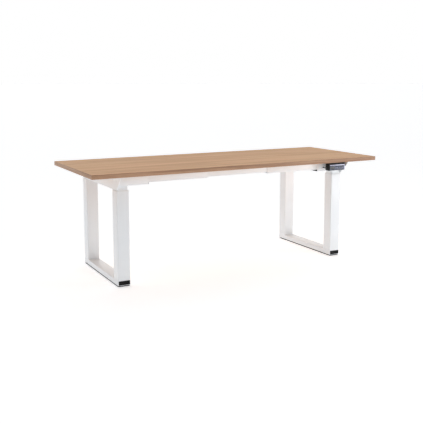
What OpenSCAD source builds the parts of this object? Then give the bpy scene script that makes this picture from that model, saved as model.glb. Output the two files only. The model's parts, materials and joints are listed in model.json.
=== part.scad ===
// Height adjustable desk on two loop legs with electric columns.
// The origin is on the floor under the middle of the top. +Z is up, -Y is the user's side.
// The model stands at its lowest position.

/* [Table top] */
// Width of the top, side to side
top_w = 2000; // [1850:10:2400]
// Depth of the top, front to back
top_d = 750; // [750:10:900]
// Thickness of the top
top_t = 25; // [22:1:30]
// Thickness of the edge band
band_t = 2; // [1:0.5:3]
// Radius of the corners, seen from above
corner_r = 5; // [4:1:12]

/* [Travel] */
// Height of the table top at its lowest position
low_h = 675; // [675:5:720]
// Travel of the columns
travel = 425; // [300:5:425]

/* [Frame] */
// Distance between the outer faces of the two legs
frame_w = 1600; // [1450:10:1640]
// Depth of a leg, front to back
frame_d = 620; // [600:10:640]
// Sideways offset of the frame from the middle of the top
frame_x = -28; // [-40:1:40]
// Offset of the frame towards the back
frame_y = 20; // [0:1:25]
// Side of the square outer column
post_s = 75; // [75:1:80]
// Side of the square inner column
inner_s = 65; // [65:1:66]
// Wall of the columns
post_wall = 2; // [1.5:0.5:2]
// Height of the foot bar
foot_h = 30; // [28:1:36]

/* [Side arm] */
// Depth of the arm below the top
arm_h = 85; // [80:1:90]
// Distance from the arm's nose to the front edge of the top
nose_gap = 7; // [5:1:12]
// Distance from the arm's tail to the back edge of the top
tail_gap = 8; // [5:1:12]
// Sheet thickness of the arm
arm_t = 3; // [2:0.5:4]

/* [Rails] */
// Length of a motor housing
housing_l = 193; // [190:1:210]
// Height of a motor housing
housing_h = 61; // [61:1:63]
// Sheet thickness of a motor housing
housing_t = 2; // [1.5:0.5:2.5]
// Height of an outer rail
rail_h = 50; // [50:1:52]
// Depth of an outer rail
rail_d = 40; // [36:1:40]
// Wall of the rails
rail_wall = 2.5; // [2:0.5:2.5]
// Half the open length between the two outer rails
rail_open = 214; // [180:1:260]
// Height of an inner rail
inner_rail_h = 41; // [38:1:41]

/* [Handset] */
// Distance from the middle of the top to the handset's left end
handset_x = 618; // [600:1:620]
// Width of the handset
handset_w = 132; // [130:1:140]
// Height of the handset
handset_h = 52; // [50:1:56]
// Stroke of a button
button_stroke = 1; // [0.6:0.1:1.2]

/* [Hidden] */
corners = ["front_left", "front_right", "rear_left", "rear_right"];
sides = ["left", "right"];
button_names = ["down", "up", "memory_1", "memory_2", "memory_3"];

round_fn = 48;
under = low_h - top_t;
slack = 0.05;
eps = 1;

// Frame plan, measured from the middle of the frame
post_x = frame_w / 2 - post_s / 2;
post_y = frame_d / 2 - post_s / 2;

// Foot and glides
glide_h = 5;
glide_r = 18;
glide_gap = 1;
stem_r = 4;
stem_h = 26;
glide_inset = 40;
foot_z = glide_h + glide_gap;
foot_wall = 2.5;
foot_top = foot_z + foot_h;
boss_r = 8;
boss_h = 8;
cap_depth = 22;

// Columns
column_r = 4;
base_plate_t = 5;
post_gap = 5;
post_top = under - arm_h - post_gap;
collar_h = 30;
collar_lip = 2.5;
collar_gap = 0.1;
slider_h = 50;
slider_gap = 0.1;
column_clear = 1;
inner_bottom = foot_top + base_plate_t + column_clear;
housing_z = under - housing_h;
head_plate_t = 6;
spindle_hole_r = 10;

// Lift drive
screw_r = 7;
screw_clear = 9;
screw_bottom = foot_top + base_plate_t + screw_clear;
screw_drop = 20;
screw_top = under - screw_drop;
push_tube_r = 15;
push_tube_wall = 3;
nut_r = 20;
nut_h = 40;
nut_reserve = 20;
nut_z = screw_bottom + travel + nut_reserve;
gear_flange = 62;
gear_flange_t = 4;
gear_s = 44;
gear_h = 45;
gear_axis_h = 23;
motor_r = 20;
motor_l = 80;
motor_z = housing_z + housing_t + gear_flange_t + gear_axis_h;
bolt_r = 3;
bolt_head_r = 4.8;
bolt_head_h = 4;
bolt_pitch = 26;
arm_bolt_head_r = 4.5;

// Fixings
arm_screw_ys = [-180, -60, 60, 180];
bolt_clear = 0.5;
arm_bolt_y = post_s / 2 - housing_t - arm_bolt_head_r - bolt_clear;
arm_bolt_z = under - housing_h / 2;

// Rails, measured from the middle of the frame
housing_x1 = frame_w / 2 - arm_t;
housing_x0 = housing_x1 - housing_l;
housing_y1 = frame_d / 2;
housing_y0 = housing_y1 - post_s;
rail_grip = 42;
rail_x1 = housing_x0 + rail_grip;
rail_y1 = housing_y1 - housing_t;
rail_y0 = rail_y1 - rail_d;
rail_fit = 0.5;
inner_rail_lap = 120;
inner_rail_y1 = rail_y1 - rail_wall - rail_fit;
inner_rail_y0 = rail_y0 + rail_wall + rail_fit;
inner_rail_z1 = under - rail_wall - rail_fit;
rail_screw_x = rail_open + 236;
screw_shank_r = 2.5;
screw_head_r = 5;
screw_head_h = 2.5;
screw_depth = 15;
access_r = 7;
rail_clamp_xs = [housing_x0 + 14, housing_x0 + 30];
lap_clamp_xs = [rail_open + 20, rail_open + 90];
clamp_r = 4;
clamp_head_r = 6.5;
clamp_head_h = 3;

// Electronics
box_w = 260;
box_d = 120;
box_h = 42;
lug_w = 16;
lug_t = 3;
lug_inset = 20;
inlet_w = 28;
inlet_depth = 18;
inlet_low = [-box_w / 2 - eps, -inlet_w / 2, under - 34];
inlet_high = [-box_w / 2 + inlet_depth, inlet_w / 2, under - 12];
cable_r = 3;
cable_bend = 18;
cable_y = post_y - 15.5;
cable_box_x = 70;
handset_cable_r = 2.5;
handset_cable_y = cable_y - 10;
handset_cable_z = motor_z - 6;
handset_cable_x = rail_x1 + 7;
handset_box_x = 30;
cable_hole_r = 4;
window_y0 = housing_y0 + 5;
window_y1 = rail_y0 - 2;
clip_ts = [0.3, 0.7];

// Handset, measured from the middle of the top
handset_y1 = -top_d / 2 + 50;
handset_y0 = -top_d / 2 + 15;
panel_t = 3;
panel_y = handset_y0 - panel_t;
panel_x0 = handset_x + 7;
panel_w = 117;
panel_h = 30;
panel_x1 = panel_x0 + panel_w;
panel_z0 = under - handset_h + 2;
panel_z1 = panel_z0 + panel_h;
trim_w = 5;
tab_d = 30;
tab_t = 4;
button_s = 10;
button_gap = 0.2;
button_foot = 3;
button_pitch = 14;
button_x1 = panel_x1 - 13;
button_z = panel_z0 + panel_h / 2;
display_w = 34;
display_h = 18;
display_t = 1;
display_x0 = panel_x0 + 4;

white = [0.93, 0.93, 0.93];
black = [0.06, 0.06, 0.06];
steel = [0.62, 0.63, 0.65];
wood = [0.78, 0.66, 0.54];

// Puts a shape drawn for the right rear corner at the corner named
module at_corner(name) {
    left = name == "front_left" || name == "rear_left";
    front = name == "front_left" || name == "front_right";
    translate([frame_x, frame_y, 0])
        mirror([left ? 1 : 0, 0, 0])
            mirror([0, front ? 1 : 0, 0])
                children();
}

// Puts a shape drawn for the right side at the side named
module at_side(name) {
    translate([frame_x, 0, 0])
        mirror([name == "left" ? 1 : 0, 0, 0])
            children();
}

// The two corners on one side
function side_corners(name) = [str("front_", name), str("rear_", name)];

module box(low, high) {
    translate(low)
        cube(high - low);
}

// Rectangle with round corners about the origin
module rounded(w, d, r) {
    square([w - 2 * r, d], center = true);
    square([w, d - 2 * r], center = true);
    for (sx = [-1, 1], sy = [-1, 1])
        translate([sx * (w / 2 - r), sy * (d / 2 - r)])
            circle(r = r, $fn = round_fn);
}

module prism(w, d, r, z0, z1) {
    translate([0, 0, z0])
        linear_extrude(height = z1 - z0)
            rounded(w, d, r);
}

module square_tube(side, wall, r, z0, z1) {
    difference() {
        prism(side, side, r, z0, z1);
        prism(side - 2 * wall, side - 2 * wall, r - wall / 2, z0 - eps, z1 + eps);
    }
}

module rod(r, z0, z1) {
    translate([0, 0, z0])
        cylinder(r = r, h = z1 - z0, $fn = round_fn);
}

// Cylinder along X from x0 to x1
module rod_x(r, x0, x1, y, z) {
    translate([x0, y, z])
        rotate([0, 90, 0])
            cylinder(r = r, h = x1 - x0, $fn = round_fn);
}

// Cylinder along Y from y0 to y1
module rod_y(r, y0, y1, x, z) {
    translate([x, y1, z])
        rotate([90, 0, 0])
            cylinder(r = r, h = y1 - y0, $fn = round_fn);
}

// Screw with its head below z, pointing up
module up_screw(r, head_r, head_h, z, length) {
    rod(head_r, z - head_h, z);
    rod(r, z - slack, z + length);
}

// ---- Table top ----

module at_top_screws() {
    for (s = sides, y = arm_screw_ys)
        at_side(s)
            translate([post_x, frame_y + y, under - arm_t])
                children();
    for (c = corners)
        at_corner(c)
            translate([rail_screw_x, (rail_y0 + rail_y1) / 2, under - rail_wall])
                children();
}

module at_box_screws() {
    x = (box_w + lug_w) / 2;
    y = box_d / 2 - lug_inset;
    for (sx = [-1, 1], sy = [-1, 1])
        translate([frame_x + sx * x, frame_y + sy * y, under - lug_t])
            children();
}

module at_handset_screws() {
    for (t = [0.2, 0.8])
        translate([handset_x + t * handset_w, handset_y1 + tab_d / 2, under - tab_t])
            children();
}

module top_board() {
    color(wood)
        difference() {
            prism(top_w - 2 * band_t, top_d - 2 * band_t, corner_r - band_t, under, low_h);
            at_top_screws()
                rod(screw_shank_r + slack, -eps, screw_depth + arm_t + slack);
            at_box_screws()
                rod(screw_shank_r + slack, -eps, screw_depth + lug_t + slack);
            at_handset_screws()
                rod(screw_shank_r + slack, -eps, screw_depth + tab_t + slack);
        }
}

module edge_band() {
    color(wood * 0.8)
        difference() {
            prism(top_w, top_d, corner_r, under, low_h);
            prism(top_w - 2 * band_t, top_d - 2 * band_t, corner_r - band_t, under - eps, low_h + eps);
        }
}

module top_screws() {
    color(steel) {
        at_top_screws()
            up_screw(screw_shank_r, screw_head_r, screw_head_h, 0, screw_depth + rail_wall);
        at_box_screws()
            up_screw(screw_shank_r, screw_head_r, screw_head_h, 0, screw_depth + lug_t);
        at_handset_screws()
            up_screw(screw_shank_r, screw_head_r, screw_head_h, 0, screw_depth + tab_t);
    }
}

// ---- Side arms ----

// Folded sheet: a tapered outer plate and a flange that the top rests on
module side_arm(side) {
    nose_y = -top_d / 2 + nose_gap;
    tail_y = top_d / 2 - tail_gap;
    front_y = frame_y - frame_d / 2;
    rear_y = frame_y + frame_d / 2;
    tip_h = 5;
    outline = [
        [nose_y, under],
        [nose_y, under - tip_h],
        [front_y + 6, under - arm_h],
        [rear_y - 3, under - arm_h],
        [tail_y, under - tip_h],
        [tail_y, under]
    ];
    color(white)
        at_side(side)
            difference() {
                union() {
                    translate([housing_x1, 0, 0])
                        rotate([90, 0, 90])
                            linear_extrude(height = arm_t)
                                polygon(outline);
                    box([frame_w / 2 - post_s, front_y, under - arm_t], [frame_w / 2 - eps, rear_y, under]);
                }
                for (y = arm_screw_ys)
                    translate([post_x, frame_y + y, under - arm_t])
                        rod(screw_shank_r + slack, -eps, arm_t + eps);
                for (sy = [-1, 1], t = [-1, 1])
                    rod_x(bolt_r + slack, housing_x1 - eps, frame_w / 2 + eps,
                          frame_y + sy * (post_y + t * arm_bolt_y), arm_bolt_z);
            }
}

// ---- Motor housings and rails ----

// Folded sheet tray, open at the top and at its inner end
module motor_housing(corner) {
    color(white)
        at_corner(corner)
            difference() {
                box([housing_x0, housing_y0, housing_z], [housing_x1, housing_y1, under]);
                box([housing_x0 - eps, housing_y0 + housing_t, housing_z + housing_t],
                    [housing_x1 - housing_t, housing_y1 - housing_t, under + eps]);
                box([frame_w / 2 - post_s, housing_y0 - eps, under - arm_t],
                    [housing_x1 + eps, housing_y1 + eps, under + eps]);
                translate([post_x, post_y, 0])
                    rod(spindle_hole_r, housing_z - eps, housing_z + housing_t + eps);
                translate([post_x, post_y, 0])
                    at_column_bolts()
                        rod(bolt_r + slack, housing_z - eps, housing_z + housing_t + eps);
                for (x = rail_clamp_xs)
                    translate([x, (rail_y0 + rail_y1) / 2, 0])
                        rod(clamp_r + slack, housing_z - eps, housing_z + housing_t + eps);
                for (t = [-1, 1])
                    rod_x(bolt_r + slack, housing_x1 - housing_t - eps, housing_x1 + eps,
                          post_y + t * arm_bolt_y, arm_bolt_z);
                if (corner == "front_right")
                    rod_y(cable_hole_r, housing_y1 - housing_t - eps, housing_y1 + eps,
                          handset_cable_x, handset_cable_z);
            }
}

module at_column_bolts() {
    for (sx = [-1, 1], sy = [-1, 1])
        translate([sx * bolt_pitch, sy * bolt_pitch, 0])
            children();
}

// Plastic closure of a housing's inner end, with the rail and the cables through it
module housing_caps() {
    cap_t = 4;
    cover_t = 2;
    x0 = housing_x0 - cover_t;
    color(black)
        for (c = corners)
            at_corner(c)
                difference() {
                    union() {
                        box([x0, housing_y0, housing_z], [housing_x0, housing_y1, under]);
                        box([housing_x0 - eps, housing_y0 + housing_t, housing_z + housing_t],
                            [housing_x0 + cap_t, housing_y1 - housing_t, under]);
                    }
                    box([x0 - eps, rail_y0, under - rail_h], [rail_x1, housing_y1 + eps, under + eps]);
                    box([x0 - eps, window_y0, handset_cable_z - 6], [rail_x1, window_y1, motor_z + 8]);
                }
}

module outer_rail(corner) {
    color(white)
        at_corner(corner)
            difference() {
                box([rail_open, rail_y0, under - rail_h], [rail_x1, rail_y1, under]);
                box([rail_open - eps, rail_y0 + rail_wall, under - rail_h + rail_wall],
                    [rail_x1 + eps, rail_y1 - rail_wall, under - rail_wall]);
                translate([rail_screw_x, (rail_y0 + rail_y1) / 2, 0]) {
                    rod(screw_shank_r + slack, under - rail_wall - eps, under + eps);
                    rod(access_r, under - rail_h - eps, under - rail_h + rail_wall + eps);
                }
                for (x = lap_clamp_xs)
                    translate([x, (rail_y0 + rail_y1) / 2, 0])
                        rod(clamp_r + slack, under - rail_h - eps, under - rail_h + rail_wall + eps);
            }
}

// Square section tube that slides in both outer rails of one end
module inner_rail(end) {
    half = rail_open + inner_rail_lap;
    low = inner_rail_z1 - inner_rail_h;
    color(white)
        translate([frame_x, frame_y, 0])
            mirror([0, end == "front" ? 1 : 0, 0])
                difference() {
                    box([-half, inner_rail_y0, low], [half, inner_rail_y1, inner_rail_z1]);
                    box([-half - eps, inner_rail_y0 + rail_wall, low + rail_wall],
                        [half + eps, inner_rail_y1 - rail_wall, inner_rail_z1 - rail_wall]);
                }
}

// Clamp screws that press a rail up in its housing, and an inner rail up in an outer one
module rail_clamp_screws() {
    mid_y = (rail_y0 + rail_y1) / 2;
    color(steel)
        for (c = corners)
            at_corner(c) {
                for (x = rail_clamp_xs)
                    translate([x, mid_y, 0])
                        up_screw(clamp_r, clamp_head_r, clamp_head_h, housing_z, housing_h - rail_h);
                for (x = lap_clamp_xs)
                    translate([x, mid_y, 0])
                        up_screw(clamp_r, clamp_head_r, clamp_head_h, under - rail_h,
                                 inner_rail_z1 - inner_rail_h - under + rail_h);
            }
}

// Bolts that hold each gear motor and housing on its column, and each housing on its arm
module frame_bolts() {
    flange_top = housing_z + housing_t + gear_flange_t;
    head_x = housing_x1 - housing_t;
    color(steel)
        for (c = corners)
            at_corner(c) {
                translate([post_x, post_y, 0])
                    at_column_bolts() {
                        rod(bolt_head_r, flange_top, flange_top + bolt_head_h);
                        rod(bolt_r, housing_z - head_plate_t, flange_top + eps);
                    }
                for (y = [post_y - arm_bolt_y, post_y + arm_bolt_y]) {
                    rod_x(arm_bolt_head_r, head_x - bolt_head_h, head_x, y, arm_bolt_z);
                    rod_x(bolt_r, head_x - eps, frame_w / 2 - bolt_clear, y, arm_bolt_z);
                }
            }
}

// ---- Inner columns and drive ----

module inner_column(corner) {
    color(white)
        at_corner(corner)
            translate([post_x, post_y, 0]) {
                square_tube(inner_s, post_wall, column_r - 0.5, inner_bottom, housing_z);
                difference() {
                    prism(inner_s - post_wall, inner_s - post_wall, column_r - 1.5,
                          housing_z - head_plate_t, housing_z);
                    rod(spindle_hole_r, housing_z - head_plate_t - eps, housing_z + eps);
                    at_column_bolts()
                        rod(bolt_r + slack, housing_z - head_plate_t - eps, housing_z + eps);
                }
            }
}

// Plastic guide ring round the bottom of each inner column
module column_sliders() {
    outer = post_s - 2 * post_wall - 2 * slider_gap;
    color(black)
        for (c = corners)
            at_corner(c)
                translate([post_x, post_y, 0])
                    difference() {
                        prism(outer, outer, column_r - 1, inner_bottom, inner_bottom + slider_h);
                        prism(inner_s + slack, inner_s + slack, column_r - 0.5,
                              inner_bottom - eps, inner_bottom + slider_h + eps);
                    }
}

module gear_motor(corner) {
    z0 = housing_z + housing_t;
    color(steel * 0.5)
        at_corner(corner)
            translate([post_x, post_y, 0])
                difference() {
                    union() {
                        prism(gear_flange, gear_flange, 3, z0, z0 + gear_flange_t);
                        prism(gear_s, gear_s, 4, z0, z0 + gear_flange_t + gear_h);
                        rod_x(motor_r, -gear_s / 2 - motor_l, -gear_s / 2 + eps, 0, motor_z);
                    }
                    rod(screw_r + slack, z0 - eps, screw_top + eps);
                    at_column_bolts()
                        rod(bolt_r + slack, z0 - eps, z0 + gear_flange_t + eps);
                }
}

module lead_screw(corner) {
    color(steel)
        at_corner(corner)
            translate([post_x, post_y, 0])
                rod(screw_r, screw_bottom, screw_top);
}

// Nut on top of a push tube that stands on the base plate of the outer column
module lift_nuts(side) {
    color([0.72, 0.58, 0.3])
        for (c = side_corners(side))
            at_corner(c)
                translate([post_x, post_y, 0]) {
                    difference() {
                        rod(nut_r, nut_z, nut_z + nut_h);
                        rod(screw_r + slack, nut_z - eps, nut_z + nut_h + eps);
                    }
                    difference() {
                        rod(push_tube_r, foot_top + base_plate_t, nut_z);
                        rod(push_tube_r - push_tube_wall, foot_top, nut_z + eps);
                    }
                }
}

// ---- Base: foot bar, outer columns, caps, collars and glides ----

module foot_bar(side) {
    y_end = frame_d / 2;
    glide_y = y_end - glide_inset;
    x0 = frame_w / 2 - post_s;
    color(white)
        at_side(side)
            translate([0, frame_y, 0])
                difference() {
                    union() {
                        difference() {
                            box([x0, -y_end, foot_z], [frame_w / 2, y_end, foot_top]);
                            box([x0 + foot_wall, -y_end - eps, foot_z + foot_wall],
                                [frame_w / 2 - foot_wall, y_end + eps, foot_top - foot_wall]);
                        }
                        for (sy = [-1, 1])
                            translate([post_x, sy * glide_y, 0])
                                rod(boss_r, foot_z, foot_z + foot_wall + boss_h);
                    }
                    for (sy = [-1, 1])
                        translate([post_x, sy * glide_y, 0])
                            rod(stem_r + slack, foot_z - eps, foot_z + foot_wall + boss_h + eps);
                }
}

// Plugs in the open ends of the foot bar
module foot_caps(side) {
    color(black)
        for (c = side_corners(side))
            at_corner(c)
                box([frame_w / 2 - post_s + foot_wall, frame_d / 2 - cap_depth, foot_z + foot_wall],
                    [frame_w / 2 - foot_wall, frame_d / 2 + 0.5, foot_top - foot_wall]);
}

module outer_columns(side) {
    plate_s = post_s - post_wall;
    color(white)
        for (c = side_corners(side))
            at_corner(c)
                translate([post_x, post_y, 0]) {
                    square_tube(post_s, post_wall, column_r, foot_top, post_top);
                    prism(plate_s, plate_s, column_r - 1, foot_top, foot_top + base_plate_t);
                }
}

// Plastic guide ring in the mouth of each outer column, with a lip on top
module column_collars(side) {
    outer = post_s - 2 * post_wall - 0.02;
    hole = inner_s + 2 * collar_gap;
    color(white * 0.95)
        for (c = side_corners(side))
            at_corner(c)
                translate([post_x, post_y, 0])
                    difference() {
                        union() {
                            prism(outer, outer, column_r - 1, post_top - collar_h, post_top + eps);
                            prism(post_s - 1, post_s - 1, column_r, post_top, post_top + collar_lip);
                        }
                        prism(hole, hole, column_r - 0.5, post_top - collar_h - eps,
                              post_top + collar_lip + eps);
                    }
}

// Screw-in levelling glide
module glide(corner) {
    color(black)
        at_corner(corner)
            translate([post_x, frame_d / 2 - glide_inset, 0]) {
                rod(glide_r, 0, glide_h);
                rod(stem_r, glide_h - eps, glide_h + stem_h);
            }
}

// ---- Electronics ----

module control_box() {
    lug_x = box_w / 2 + lug_w;
    color(black)
        difference() {
            translate([frame_x, frame_y, 0]) {
                prism(box_w, box_d, 6, under - box_h, under);
                for (sy = [-1, 1])
                    translate([0, sy * (box_d / 2 - lug_inset), 0])
                        box([-lug_x, -lug_w / 2, under - lug_t], [lug_x, lug_w / 2, under]);
            }
            at_box_screws()
                rod(screw_shank_r + slack, -eps, lug_t + eps);
            translate([frame_x, frame_y, 0])
                box(inlet_low - [slack, slack, slack], inlet_high + [slack, slack, slack]);
        }
}

// Appliance inlet in the left end of the control box
module mains_inlet() {
    rim = 3;
    back_t = 4;
    pin_w = 2;
    pin_h = 4;
    pin_pitch = 7;
    mid_z = (inlet_low[2] + inlet_high[2]) / 2;
    color(black)
        translate([frame_x, frame_y, 0])
            difference() {
                box(inlet_low, inlet_high);
                difference() {
                    box(inlet_low + [-eps, rim, rim], inlet_high - [back_t, rim, rim]);
                    for (y = [-pin_pitch, 0, pin_pitch])
                        box([inlet_low[0] + rim, y - pin_w / 2, mid_z - pin_h / 2],
                            [inlet_high[0], y + pin_w / 2, mid_z + pin_h / 2]);
                }
            }
}

// Cable along X at depth y, then a quarter bend, then along Y to the control box
module cable(r, x0, x1, y, z) {
    rod_x(r, x1 + cable_bend, x0, y, z);
    rod_y(r, box_d / 2, y - cable_bend, x1, z);
    translate([x1 + cable_bend, y - cable_bend, z])
        rotate([0, 0, 90])
            rotate_extrude(angle = 90, $fn = round_fn)
                translate([cable_bend, 0])
                    circle(r = r, $fn = round_fn);
}

module motor_cables() {
    color(black)
        for (c = corners)
            at_corner(c)
                cable(cable_r, post_x - gear_s / 2 - motor_l, cable_box_x, cable_y, motor_z);
}

// From the handset through the housing wall and the gap between motor and rail to the control box
module handset_cable() {
    front = frame_y - handset_y1;
    color(black)
        at_corner("front_right") {
            rod_y(handset_cable_r, handset_cable_y, front, handset_cable_x, handset_cable_z);
            translate([handset_cable_x, handset_cable_y, handset_cable_z])
                sphere(r = handset_cable_r, $fn = round_fn);
            cable(handset_cable_r, handset_cable_x, handset_box_x, handset_cable_y, handset_cable_z);
        }
}

// Plastic saddles that hold the cables under the top
module cable_clips() {
    clip_w = 10;
    pad = 3;
    margin = 40;
    x0 = cable_box_x + margin;
    x1 = housing_x0 - margin;
    low_y = handset_cable_y - handset_cable_r - pad;
    low_z = handset_cable_z - handset_cable_r - pad;
    color(black)
        for (c = corners, t = clip_ts)
            at_corner(c)
                translate([x0 + t * (x1 - x0), 0, 0])
                    difference() {
                        box([0, low_y, low_z], [clip_w, cable_y + cable_r + pad, under]);
                        rod_x(cable_r + slack, -eps, clip_w + eps, cable_y, motor_z);
                        rod_x(handset_cable_r + slack, -eps, clip_w + eps, handset_cable_y, handset_cable_z);
                    }
}

// ---- Handset ----

module at_button(i) {
    translate([button_x1 - (len(button_names) - 1 - i) * button_pitch, handset_y0, button_z])
        children();
}

module button_hole(s) {
    box([-s / 2, -panel_t - eps, -s / 2], [s / 2, button_stroke + button_foot + button_gap, s / 2]);
}

module button_pockets() {
    for (i = [0 : len(button_names) - 1])
        at_button(i)
            button_hole(button_s + 2 * button_gap);
}

module handset_body() {
    x1 = handset_x + handset_w;
    low_z = under - handset_h;
    color(black)
        difference() {
            union() {
                box([handset_x, handset_y0, low_z], [x1, handset_y1, under]);
                box([handset_x, handset_y1 - eps, under - tab_t], [x1, handset_y1 + tab_d, under]);
                box([handset_x, panel_y, low_z], [panel_x0 - slack, handset_y0 + eps, panel_z1 + trim_w]);
            }
            button_pockets();
            at_handset_screws()
                rod(screw_shank_r + slack, -eps, tab_t + eps);
        }
}

// Window of the display, s smaller on each side
module display_block(s, front) {
    box([display_x0 + s, front, button_z - display_h / 2 + s],
        [display_x0 + display_w - s, panel_y + display_t, button_z + display_h / 2 - s]);
}

module handset_panel() {
    color([0.16, 0.18, 0.28])
        difference() {
            box([panel_x0, panel_y, panel_z0], [panel_x1, handset_y0, panel_z1]);
            display_block(0, panel_y - eps);
            button_pockets();
        }
}

// Bright strip over the panel and down its right end
module handset_trim() {
    color([0.8, 0.8, 0.85]) {
        box([panel_x0, panel_y, panel_z1], [panel_x1 + trim_w, handset_y0, panel_z1 + trim_w]);
        box([panel_x1, panel_y, panel_z0], [panel_x1 + trim_w, handset_y0, panel_z1 + eps]);
    }
}

module handset_display() {
    color([0.02, 0.02, 0.03])
        display_block(slack, panel_y);
}

module button(i) {
    half = button_s / 2;
    color([0.3, 0.32, 0.4])
        at_button(i)
            box([-half, -panel_t - button_stroke, -half], [half, button_foot, half]);
}

// ---- Assembly ----

top_board();
edge_band();
for (s = sides) {
    side_arm(s);
    foot_bar(s);
    foot_caps(s);
    outer_columns(s);
    column_collars(s);
    lift_nuts(s);
}
for (c = corners) {
    motor_housing(c);
    outer_rail(c);
    inner_column(c);
    gear_motor(c);
    lead_screw(c);
    glide(c);
}
for (e = ["front", "rear"])
    inner_rail(e);
housing_caps();
rail_clamp_screws();
frame_bolts();
top_screws();
column_sliders();
control_box();
mains_inlet();
motor_cables();
handset_cable();
cable_clips();
handset_body();
handset_panel();
handset_trim();
handset_display();
for (i = [0 : len(button_names) - 1])
    button(i);
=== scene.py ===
"""Height adjustable desk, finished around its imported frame.

Every length is in metres in the frame's own axes: +X to the user's right, +Y to the back, +Z up.
"""

import json
import logging
import math
from dataclasses import dataclass
from enum import Enum
from typing import Any, Iterable, Optional, Sequence, Union

import bmesh
import bpy
from bmesh.types import BMEdge, BMesh, BMVert
from mathutils import Matrix, Vector


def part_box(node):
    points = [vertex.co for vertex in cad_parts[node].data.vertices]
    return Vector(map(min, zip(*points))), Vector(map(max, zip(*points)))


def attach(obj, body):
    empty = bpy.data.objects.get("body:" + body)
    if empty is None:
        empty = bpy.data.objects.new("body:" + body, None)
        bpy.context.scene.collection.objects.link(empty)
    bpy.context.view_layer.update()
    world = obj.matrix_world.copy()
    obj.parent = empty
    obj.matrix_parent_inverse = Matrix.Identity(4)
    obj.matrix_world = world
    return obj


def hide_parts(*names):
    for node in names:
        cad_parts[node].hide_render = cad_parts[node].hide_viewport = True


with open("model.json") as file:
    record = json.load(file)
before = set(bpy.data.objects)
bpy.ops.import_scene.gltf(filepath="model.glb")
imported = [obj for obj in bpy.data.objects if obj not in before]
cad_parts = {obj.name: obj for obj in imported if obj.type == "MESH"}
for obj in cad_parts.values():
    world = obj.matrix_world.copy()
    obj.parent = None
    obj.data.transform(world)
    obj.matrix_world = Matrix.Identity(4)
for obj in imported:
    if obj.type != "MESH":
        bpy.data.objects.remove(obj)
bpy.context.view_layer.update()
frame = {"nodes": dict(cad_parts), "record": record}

LOG = logging.getLogger("desk")

Colour = tuple[float, float, float]
Number = Union["Value", float, int]

SIDES = ("left", "right")
CORNERS = ("front_left", "front_right", "rear_left", "rear_right")


# ---- Shader building ----


def linear(colour: Colour) -> tuple[float, float, float, float]:
    """Turns a screen colour, 0 to 255, into the linear colour with alpha that a socket takes."""
    parts = [c / 255.0 for c in colour]
    parts = [c / 12.92 if c <= 0.04045 else ((c + 0.055) / 1.055) ** 2.4 for c in parts]
    return (parts[0], parts[1], parts[2], 1.0)


class Value:
    """A number socket that adds Math nodes when it is used in an expression."""

    def __init__(self, shader: "Nodes", socket: bpy.types.NodeSocket) -> None:
        """Wraps a socket of a shader's node tree."""
        self.shader = shader
        self.socket = socket

    def math(self, operation: str, *terms: Number) -> "Value":
        """Adds one Math node.

        Args:
            operation: The Math node's operation.
            *terms: Its inputs, in order.

        Returns:
            The node's output.
        """
        made = self.shader.node("ShaderNodeMath", {"operation": operation}, dict(enumerate(terms)))
        return Value(self.shader, made.outputs[0])

    def __add__(self, other: Number) -> "Value":
        """Adds."""
        return self.math("ADD", self, other)

    __radd__ = __add__

    def __sub__(self, other: Number) -> "Value":
        """Subtracts."""
        return self.math("SUBTRACT", self, other)

    def __rsub__(self, other: Number) -> "Value":
        """Subtracts from a number."""
        return self.math("SUBTRACT", other, self)

    def __mul__(self, other: Number) -> "Value":
        """Multiplies."""
        return self.math("MULTIPLY", self, other)

    __rmul__ = __mul__

    def between(self, low: float, high: float) -> "Value":
        """Maps low to 0 and high to 1, held inside that range."""
        made = self.shader.node(
            "ShaderNodeMapRange",
            {"interpolation_type": "SMOOTHSTEP"},
            {"Value": self, "From Min": low, "From Max": high},
        )
        return Value(self.shader, made.outputs[0])


class Nodes:
    """A node tree that is being filled."""

    def __init__(self, owner: Union[bpy.types.Material, bpy.types.World]) -> None:
        """Empties the owner's tree."""
        owner.use_nodes = True
        self.tree = owner.node_tree
        self.tree.nodes.clear()

    def node(
        self,
        kind: str,
        settings: Optional[dict[str, Any]] = None,
        values: Optional[dict[Union[str, int], Any]] = None,
    ) -> bpy.types.Node:
        """Adds a node.

        Args:
            kind: The node's type.
            settings: Its own settings, set first; "stops" holds a ramp's places and colours.
            values: Its inputs by name or number, each a link or a plain value.

        Returns:
            The new node.
        """
        made = self.tree.nodes.new(kind)
        for key, value in (settings or {}).items():
            if key == "stops":
                elements = made.color_ramp.elements
                while len(elements) < len(value):
                    elements.new(0.5)
                for element, (place, colour) in zip(elements, value):
                    element.position = place
                    element.color = linear(colour)
            else:
                setattr(made, key, value)
        for key, value in (values or {}).items():
            self.feed(made.inputs[key], value)
        return made

    def feed(self, socket: bpy.types.NodeSocket, value: Any) -> None:
        """Links or sets one socket."""
        source = value.socket if isinstance(value, Value) else value
        if isinstance(source, bpy.types.NodeSocket):
            self.tree.links.new(source, socket)
        else:
            socket.default_value = source


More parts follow.
